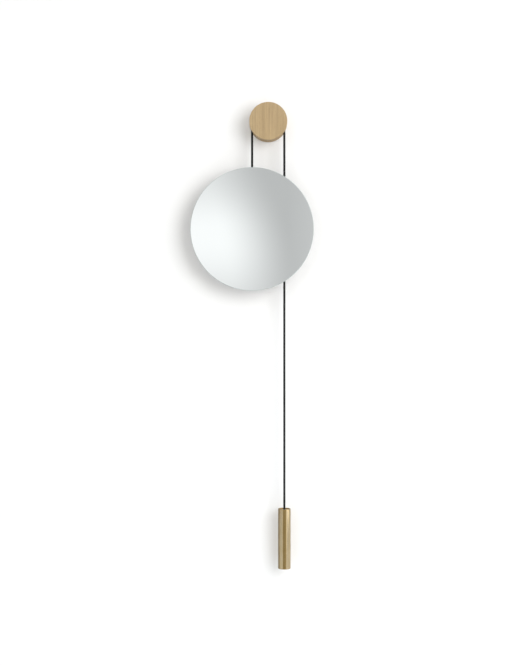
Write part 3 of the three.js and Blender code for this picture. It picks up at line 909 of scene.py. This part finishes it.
def make_hanger():
    """A plate with round corners and a block on it, which the cord passes through."""
    plate_front = hanger_low.y
    plate_back = plate_front + HANGER_THICKNESS
    corners = (
        (hanger_high.x - HANGER_CORNER, hanger_high.z - HANGER_CORNER, 0),
        (hanger_low.x + HANGER_CORNER, hanger_high.z - HANGER_CORNER, 90),
        (hanger_low.x + HANGER_CORNER, hanger_low.z + HANGER_CORNER, 180),
        (hanger_high.x - HANGER_CORNER, hanger_low.z + HANGER_CORNER, 270),
    )
    rim = []
    for x, z, first_degrees in corners:
        for step in range(CORNER_STEPS + 1):
            angle = math.radians(first_degrees + 90 * step / CORNER_STEPS)
            rim.append((x + HANGER_CORNER * math.cos(angle), z + HANGER_CORNER * math.sin(angle)))
    count = len(rim)
    vertices = [(x, y, z) for y in (plate_front, plate_back) for x, z in rim]
    sides = [(k, (k + 1) % count, count + (k + 1) % count, count + k) for k in range(count)]
    hanger = new_piece("steel_hanger", vertices, [range(count), range(count, 2 * count), *sides], STEEL)
    face_outward(hanger)
    low = Vector((LEFT_X - HANGER_BLOCK_HALF_WIDTH, plate_back - HANGER_BLOCK_ROOT, hanger_low.z))
    high = Vector((LEFT_X + HANGER_BLOCK_HALF_WIDTH, hanger_high.y, hanger_low.z + HANGER_BLOCK_HEIGHT))
    knuckle = block("knuckle", low, high, STEEL)
    face_outward(knuckle)
    combine(hanger, [knuckle], "UNION")
    drill(hanger, [
        (0, plate_back + PAST),
        (SCREW_RADIUS + GAP, plate_back + PAST),
        (SCREW_RADIUS + GAP, plate_front - PAST),
        (0, plate_front - PAST),
    ], [middle_of(node) for node in HANGER_SCREWS])
    cord_hole = [
        (0, high.z + PAST),
        (CORD_HOLE_RADIUS, high.z + PAST),
        (CORD_HOLE_RADIUS, low.z - PAST),
        (0, low.z - PAST),
    ]
    cord_axis = Vector((LEFT_X, CORD_Y, 0))
    combine(hanger, [turned("cord_hole", cord_hole, cord_axis, True, STEEL, sides=HOLE_SIDES)])
    soften(hanger, HANGER_EDGE)
    hold(hanger, "hanger_bracket")
    for number, node in enumerate(HANGER_SCREWS, 1):
        make_screw(f"steel_hanger_screw_{number}", node)


def make_standoffs():
    """Two oak pegs with felt feet."""
    for side in ("left", "right"):
        for name, node, edge, material in (
            (f"oak_standoff_{side}", f"standoff_{side}", STANDOFF_EDGE, OAK),
            (f"felt_pad_{side}", f"felt_foot_{side}", FELT_EDGE, FELT),
        ):
            low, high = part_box(node)
            radius = (high.x - low.x) / 2
            outline = rounded([(0, high.y), (radius, high.y), (radius, low.y), (0, low.y)], edge)
            hold(turned(name, outline, middle_of(node), False, material, SMALL_SIDES), node)


# ------------------------------------------------------------------ ferrules

FERRULE_EDGE = 0.6 * MM
CRIMP_DEPTH = 0.35 * MM
CRIMP_WIDTH = 2.4 * MM
CRIMPS = (0.3, 0.7)


def make_ferrule(name, node, material):
    """A sleeve with two crimped bands."""
    low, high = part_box(node)
    radius, height = (high.x - low.x) / 2, high.z - low.z
    middle = (CORD_HOLE_RADIUS, (high.z + low.z) / 2)
    outline = [middle, (CORD_HOLE_RADIUS, high.z), (radius, high.z)]
    for share in CRIMPS:
        band = high.z - share * height
        outline += [
            (radius, band + CRIMP_WIDTH / 2),
            (radius - CRIMP_DEPTH, band + CRIMP_WIDTH / 4),
            (radius - CRIMP_DEPTH, band - CRIMP_WIDTH / 4),
            (radius, band - CRIMP_WIDTH / 2),
        ]
    outline += [(radius, low.z), (CORD_HOLE_RADIUS, low.z), middle]
    hold(turned(name, rounded(outline, FERRULE_EDGE), middle_of(node), True, material, SMALL_SIDES), node)


make_glass()
make_board()
make_hanger()
make_standoffs()
make_ferrule("brass_mirror_ferrule", "mirror_cord_ferrule", BRASS)
make_ferrule("steel_weight_ferrule", "weight_cord_ferrule", STEEL)

# ------------------------------------------------------------------ counterweight

WEIGHT_EDGE = 1.1 * MM
CAP_EDGE = 0.35 * MM
CAP_THICKNESS = 4 * MM
NECK_RADIUS = 10 * MM
CHAMBER_DEPTH = 34 * MM
WEIGHT_RADIUS = (weight_high.x - weight_low.x) / 2


def make_weight():
    """A cap with a neck, and a body with a seat for the cap and a chamber for the neck and the ferrule."""
    axis = Vector((RIGHT_X, CORD_Y, 0))
    cap_radius = (cap_high.x - cap_low.x) / 2
    cap_bottom = cap_high.z - CAP_THICKNESS
    bore_middle = (CORD_HOLE_RADIUS, (cap_low.z + cap_high.z) / 2)
    cap = turned("brass_cap", rounded([
        bore_middle,
        (CORD_HOLE_RADIUS, cap_high.z),
        (cap_radius, cap_high.z),
        (cap_radius, cap_bottom),
        (NECK_RADIUS, cap_bottom),
        (NECK_RADIUS, cap_low.z),
        (CORD_HOLE_RADIUS, cap_low.z),
        bore_middle,
    ], CAP_EDGE), axis, True, BRASS)
    hold(cap, "weight_cap")
    body = turned("brass_body", rounded([
        (0, cap_bottom - CHAMBER_DEPTH),
        (NECK_RADIUS + GAP, cap_bottom - CHAMBER_DEPTH),
        (NECK_RADIUS + GAP, cap_bottom - GAP),
        (cap_radius + GAP, cap_bottom - GAP),
        (cap_radius + GAP, weight_high.z),
        (WEIGHT_RADIUS, weight_high.z),
        (WEIGHT_RADIUS, weight_low.z),
        (0, weight_low.z),
    ], WEIGHT_EDGE), axis, True, BRASS)
    hold(body, "weight_body")


make_weight()

# ------------------------------------------------------------------ stage: wall, floor, reflected card

WALL_SETBACK = 0.8 * MM
WALL_HALF_WIDTH = 5.0
WALL_HEIGHT = 5.0
FLOOR_Z = -1.9
FLOOR_HALF_WIDTH = 4.2
FLOOR_DEPTH = 2.35
CARD_Y = -3.4
CARD_LEFT = -0.9
CARD_RIGHT = 0.75
CARD_HALF_HEIGHT = 0.75

# The brightness of the glowing card, a painted reflection with a painted glare. A pair says where on the
# card, in metres, a fade starts and ends
CARD_GREY = 0.558
GLARE = 0.528
GLARE_SLANT = 0.261
GLARE_BEND = 0.337
GLARE_EDGE = (0.178, -0.271)
GLARE_TOP = (0.0225, 0.347)
GLARE_AT_TOP = 0.6
GLARE_BOTTOM = (-0.03, -0.643)
GLARE_AT_BOTTOM = 0.225
BRIGHTER_FROM = 0.15
BRIGHTER_BY = 0.38


def plane(name, corners, material):
    piece = new_piece(name, corners, [range(len(corners))], material)
    return piece


def wall_paint():
    """White paint in front, nothing from behind, so that the back of the object can be looked at.
    Reflections show it with painted shade, darkest to the left of the weight as a painted shadow of the
    weight."""
    paint = Finish("wall_paint")
    paint.set(Roughness=0.9)
    # Painted shade: reflections see the wall darker than its paint, and darker still left of the weight, a
    # painted shadow of the weight.
    reflected = paint.node("ShaderNodeLightPath").outputs["Is Glossy Ray"]
    across = paint.node("ShaderNodeSeparateXYZ", {0: paint.place()}).outputs["X"]
    lit_side = paint.remap(across, RIGHT_X - WEIGHT_RADIUS, RIGHT_X + WEIGHT_RADIUS)
    darker = paint.mix(lit_side, (0.38, 0.38, 0.4), (0.64, 0.65, 0.7))
    paint.link(paint.mix(reflected, (0.86, 0.86, 0.86), darker), "Base Color")
    behind = paint.node("ShaderNodeNewGeometry").outputs["Backfacing"]
    solid = paint.shader.outputs[0]
    clear = paint.node("ShaderNodeBsdfTransparent").outputs[0]
    paint.show(paint.node("ShaderNodeMixShader", {0: behind, 1: solid, 2: clear}))
    return paint.material


def floor_paint():
    """A pale floor, with painted shade: reflections show it a little darker than its paint."""
    paint = Finish("pale_floor")
    paint.set(Roughness=0.7)
    reflected = paint.node("ShaderNodeLightPath").outputs["Is Glossy Ray"]
    # Painted shade: glossy rays see the floor darker than camera and diffuse rays do.
    paint.link(paint.mix(reflected, (0.78, 0.8, 0.815), (0.6, 0.605, 0.63)), "Base Color")
    return paint.material


def card_glow():
    """A glowing card that is no lamp, a painted reflection for the mirror: grey, with a painted glare at the
    lower left that has a soft slanted edge and fades upwards and downwards, and brighter again to the right."""
    glow = Finish("soft_card")
    parts = glow.node("ShaderNodeSeparateXYZ", {0: glow.node("ShaderNodeTexCoord").outputs["Object"]})
    across, up = parts.outputs["X"], parts.outputs["Z"]
    bend = glow.math("MULTIPLY", glow.math("MULTIPLY", up, up), GLARE_BEND)
    slant = glow.math("ADD", glow.math("MULTIPLY", up, GLARE_SLANT), bend)
    left = glow.fade(glow.math("ADD", across, slant), *GLARE_EDGE)
    top = glow.fade(up, *GLARE_TOP, 1.0, GLARE_AT_TOP)
    bottom = glow.fade(up, *GLARE_BOTTOM, 1.0, GLARE_AT_BOTTOM)
    past = glow.math("MAXIMUM", glow.math("SUBTRACT", across, BRIGHTER_FROM), 0.0)
    right = glow.math("MULTIPLY", past, BRIGHTER_BY)
    glare = glow.math("MULTIPLY", glow.math("MULTIPLY", left, glow.math("MULTIPLY", top, bottom)), GLARE)
    level = glow.math("ADD", glow.math("ADD", glare, right), CARD_GREY)
    # Painted reflection: the card glows, though it is no lamp.
    glow.show(glow.node("ShaderNodeEmission", {"Color": (1, 1, 1, 1), "Strength": level}))
    return glow.material


def make_wall():
    """It casts no shadow, so that the lamp behind it reaches the back of the object."""
    wall = plane("stage_wall", [
        (-WALL_HALF_WIDTH, WALL_SETBACK, FLOOR_Z),
        (WALL_HALF_WIDTH, WALL_SETBACK, FLOOR_Z),
        (WALL_HALF_WIDTH, WALL_SETBACK, FLOOR_Z + WALL_HEIGHT),
        (-WALL_HALF_WIDTH, WALL_SETBACK, FLOOR_Z + WALL_HEIGHT),
    ], wall_paint())
    wall.visible_shadow = False


def make_floor():
    plane("stage_floor", [
        (-FLOOR_HALF_WIDTH, -FLOOR_DEPTH, FLOOR_Z),
        (FLOOR_HALF_WIDTH, -FLOOR_DEPTH, FLOOR_Z),
        (FLOOR_HALF_WIDTH, WALL_SETBACK, FLOOR_Z),
        (-FLOOR_HALF_WIDTH, WALL_SETBACK, FLOOR_Z),
    ], floor_paint())


def make_card():
    """A glowing card that is no lamp. It hangs behind the camera, and only reflections show it, as a painted
    reflection.
    """
    card = plane("stage_card", [
        (CARD_LEFT, CARD_Y, -CARD_HALF_HEIGHT),
        (CARD_LEFT, CARD_Y, CARD_HALF_HEIGHT),
        (CARD_RIGHT, CARD_Y, CARD_HALF_HEIGHT),
        (CARD_RIGHT, CARD_Y, -CARD_HALF_HEIGHT),
    ], card_glow())
    card.visible_diffuse = False


make_wall()
make_floor()
make_card()

# ------------------------------------------------------------------ lamps

LAMP_TARGET = Vector((mirror_centre.x, 0, -0.6))


def soft_lamp(name, place, width, height, power, reflected):
    data = bpy.data.lights.new(name, "AREA")
    data.shape = "RECTANGLE"
    data.size = width
    data.size_y = height
    data.energy = power
    lamp = bpy.data.objects.new(name, data)
    lamp.location = place
    lamp.rotation_euler = (LAMP_TARGET - Vector(place)).to_track_quat("-Z", "Y").to_euler()
    lamp.visible_glossy = reflected
    bpy.context.scene.collection.objects.link(lamp)


# The mirror and the brass show the studio and no hard-edged lamps. The lamp behind the wall lights the back.
soft_lamp("key", place=(1.6, -2.3, 0.15), width=1.7, height=2.2, power=46, reflected=False)
soft_lamp("fill", place=(-2.6, -2.6, -0.2), width=2.5, height=2.5, power=12.7, reflected=False)
soft_lamp("back", place=(-0.4, 2.4, 0.6), width=2.4, height=2.4, power=60, reflected=True)

# ------------------------------------------------------------------ the studio around it

NEUTRAL = (1, 1, 1)
WARM = (1.05, 0.92, 0.6)
COOL = (1, 1.015, 1.07)
OFF_EYE_LEVEL = (0.97, 1.0, 1.045)
BACKDROP = (0.94, 0.94, 0.94)
EYE_LEVEL_UP_TO = math.radians(18)
WHITE_FROM = math.radians(45)
STUDIO_STRENGTH = 1.07

# The studio at eye level, by direction in degrees: 0 is behind the camera, + is to its right
EYE_LEVEL = (
    (-180, 0.95, NEUTRAL),
    (-110, 0.6, COOL),
    (-60, 0.6, COOL),
    (-29, 0.74, COOL),
    (-27, 0.34, WARM),
    (-16, 0.32, WARM),
    (-5, 0.38, WARM),
    (14, 0.34, WARM),
    (26, 0.45, WARM),
    (37, 0.75, NEUTRAL),
    (50, 1.4, COOL),
    (60, 1.55, COOL),
    (100, 1.5, COOL),
    (180, 0.95, NEUTRAL),
)


def fill_ramp(points):
    """The ramp has its two ends already, and gets a point for each direction between them."""
    for degrees, level, tint in EYE_LEVEL[1:-1]:
        points.new((degrees + 180) / 360)
    for point, (degrees, level, tint) in zip(points, EYE_LEVEL):
        point.position = (degrees + 180) / 360
        point.color = (*(level * part for part in tint), 1)


def make_world():
    """The studio by direction, a cool white above and below eye level. The camera sees a plain backdrop."""
    world = bpy.data.worlds.new("studio")
    world.use_nodes = True
    tree = Tree(world.node_tree)
    direction = tree.node("ShaderNodeTexCoord").outputs["Generated"]
    parts = tree.node("ShaderNodeSeparateXYZ", {0: direction})
    forward = tree.math("MULTIPLY", parts.outputs["Y"], -1)
    azimuth = tree.math("ARCTAN2", parts.outputs["X"], forward)
    ramp = tree.node("ShaderNodeValToRGB", {0: tree.remap(azimuth, -math.pi, math.pi)})
    fill_ramp(ramp.color_ramp.elements)
    height = tree.math("ABSOLUTE", parts.outputs["Z"])
    away = tree.fade(height, math.sin(EYE_LEVEL_UP_TO), math.sin(WHITE_FROM))
    studio = tree.mix(away, ramp.outputs["Color"], OFF_EYE_LEVEL)
    seen = tree.node("ShaderNodeLightPath").outputs["Is Camera Ray"]
    background = tree.nodes["Background"]
    tree.links.new(tree.mix(seen, studio, BACKDROP), background.inputs["Color"])
    background.inputs["Strength"].default_value = STUDIO_STRENGTH
    bpy.context.scene.world = world


make_world()
bpy.context.scene.view_settings.view_transform = "Standard"
